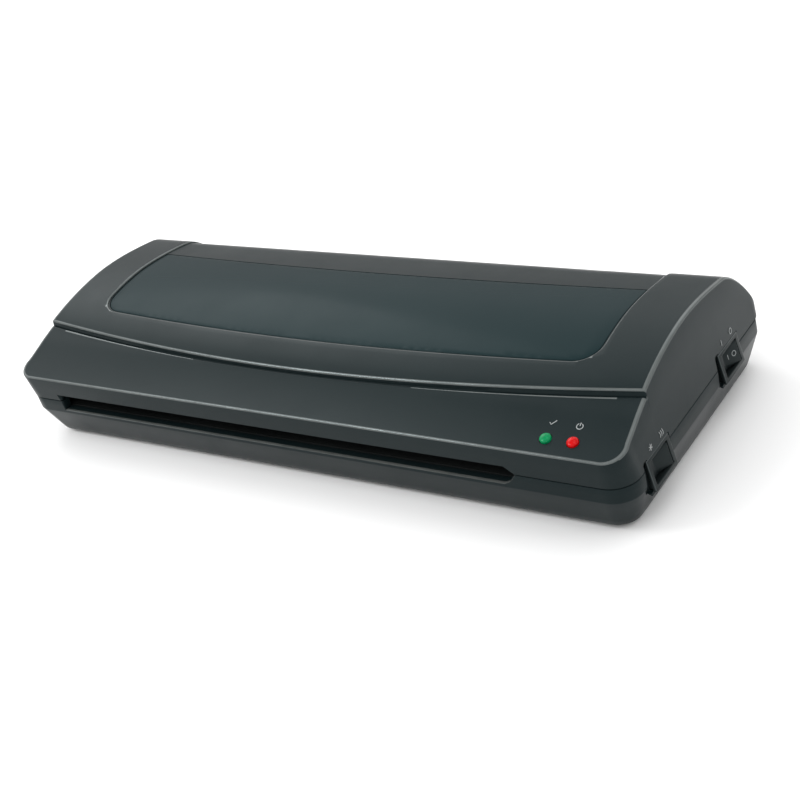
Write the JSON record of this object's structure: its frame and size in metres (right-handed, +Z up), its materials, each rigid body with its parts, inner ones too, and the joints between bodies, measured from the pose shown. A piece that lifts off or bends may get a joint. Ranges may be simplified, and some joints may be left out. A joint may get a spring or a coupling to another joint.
{
  "type": "pouch laminator",
  "caption": "Desktop pouch laminator with a curved lid, tinted window, front and rear pouch slots, end-mounted rocker switches, lamps, heating plates and a sprung, geared roller drive.",
  "frame": {"origin": "bottom centre of the whole object, on the ground plane under the feet", "axes": "+X along the length towards the switches, -Y to the front where the pouch enters, +Z up"},
  "size_m": [0.3425, 0.1485, 0.062],
  "materials": {
    "casing_plastic": "fine satin texture, dark grey green",
    "smoked_window": "smooth, semi-gloss, tinted teal",
    "switch_plastic": "satin black",
    "foot_rubber": "matt, slightly dusty",
    "grommet_rubber": "matt",
    "green_lens": "polished, domed",
    "red_lens": "polished, domed",
    "screw_steel": "zinc plated",
    "frame_steel": "zinc-plated sheet",
    "shaft_steel": "ground bright",
    "spring_steel": "drawn wire",
    "silicone_rubber": "ground silicone",
    "gear_nylon": "moulded nylon",
    "bush_bronze": "sintered bronze",
    "heater_aluminium": "rolled sheet",
    "heater_film": "polyimide film",
    "guide_plastic": "fine texture",
    "board_laminate": "solder-mask green",
    "relay_case": "moulded",
    "motor_can": "zinc-plated can",
    "thermostat_case": "phenolic",
    "fuse_case": "drawn metal case"
  },
  "bodies": {
    "casing": {"bottom_housing": "casing_plastic", "case_screw_front_left": "screw_steel", "case_screw_front_right": "screw_steel", "case_screw_rear_left": "screw_steel", "case_screw_rear_right": "screw_steel", "circuit_board": "board_laminate", "cord_gland": "grommet_rubber", "foot_front_left": "foot_rubber", "foot_front_right": "foot_rubber", "foot_rear_left": "foot_rubber", "foot_rear_right": "foot_rubber", "frame_left": "frame_steel", "frame_right": "frame_steel", "frame_screw_front_left": "screw_steel", "frame_screw_front_right": "screw_steel", "frame_screw_rear_left": "screw_steel", "frame_screw_rear_right": "screw_steel", "heat_switch_body": "switch_plastic", "indicator_board": "board_laminate", "lower_bush_left": "bush_bronze", "lower_bush_right": "bush_bronze", "lower_entry_guide": "guide_plastic", "lower_exit_guide": "guide_plastic", "lower_heater_element": "heater_film", "lower_heating_plate": "heater_aluminium", "motor_body": "motor_can", "motor_bracket": "frame_steel", "motor_screw_1": "screw_steel", "motor_screw_2": "screw_steel", "power_lens": "red_lens", "power_switch_body": "switch_plastic", "pressure_spring_left": "spring_steel", "pressure_spring_right": "spring_steel", "ready_lens": "green_lens", "relay": "relay_case", "thermal_fuse": "fuse_case", "thermostat": "thermostat_case", "tie_rod_front": "shaft_steel", "tie_rod_rear": "shaft_steel", "top_cover": "casing_plastic", "upper_entry_guide": "guide_plastic", "upper_exit_guide": "guide_plastic", "upper_heater_element": "heater_film", "upper_heating_plate": "heater_aluminium", "window_panel": "smoked_window"},
    "power_rocker": {"power_rocker": "switch_plastic"},
    "heat_rocker": {"heat_rocker": "switch_plastic"},
    "lower_roller": {"lower_roller_shaft": "shaft_steel", "lower_roller_sleeve": "silicone_rubber", "lower_roller_gear": "gear_nylon"},
    "upper_bushes": {"upper_bush_left": "bush_bronze", "upper_bush_right": "bush_bronze"},
    "upper_roller": {"upper_roller_shaft": "shaft_steel", "upper_roller_sleeve": "silicone_rubber", "upper_roller_gear": "gear_nylon"},
    "motor_output": {"motor_shaft": "shaft_steel", "motor_pinion": "gear_nylon"}
  },
  "joints": [
    {"name": "power_rocker_press", "type": "hinge", "parent": "casing", "child": "power_rocker", "pos_m": [0.16517, 0.0336, 0.02352], "axis": [-0.1736, 0, 0.9848], "range_deg": [0, 20]},
    {"name": "heat_rocker_press", "type": "hinge", "parent": "casing", "child": "heat_rocker", "pos_m": [0.16517, -0.0429, 0.02052], "axis": [-0.1736, 0, 0.9848], "range_deg": [0, 20]},
    {"name": "lower_roller_spin", "type": "hinge", "parent": "casing", "child": "lower_roller", "pos_m": [-0.0012, 0.0111, 0.01505], "axis": [1, 0, 0], "continuous": true},
    {"name": "upper_bush_lift", "type": "slide", "parent": "casing", "child": "upper_bushes", "axis": [0, 0, 1], "range_m": [0, 0.0008], "stiffness_N_per_m": 8000, "springref_m": -0.004, "deforming": ["pressure_spring_left", "pressure_spring_right"]},
    {"name": "upper_roller_spin", "type": "hinge", "parent": "upper_bushes", "child": "upper_roller", "pos_m": [-0.0012, 0.0111, 0.03335], "axis": [1, 0, 0], "continuous": true},
    {"name": "motor_spin", "type": "hinge", "parent": "casing", "child": "motor_output", "pos_m": [-0.0012, -0.00392, 0.0177], "axis": [1, 0, 0], "continuous": true}
  ],
  "couplings": [
    {"joint": "upper_roller_spin", "follows": "lower_roller_spin", "ratio": -1},
    {"joint": "motor_spin", "follows": "lower_roller_spin", "ratio": -1.5}
  ]
}
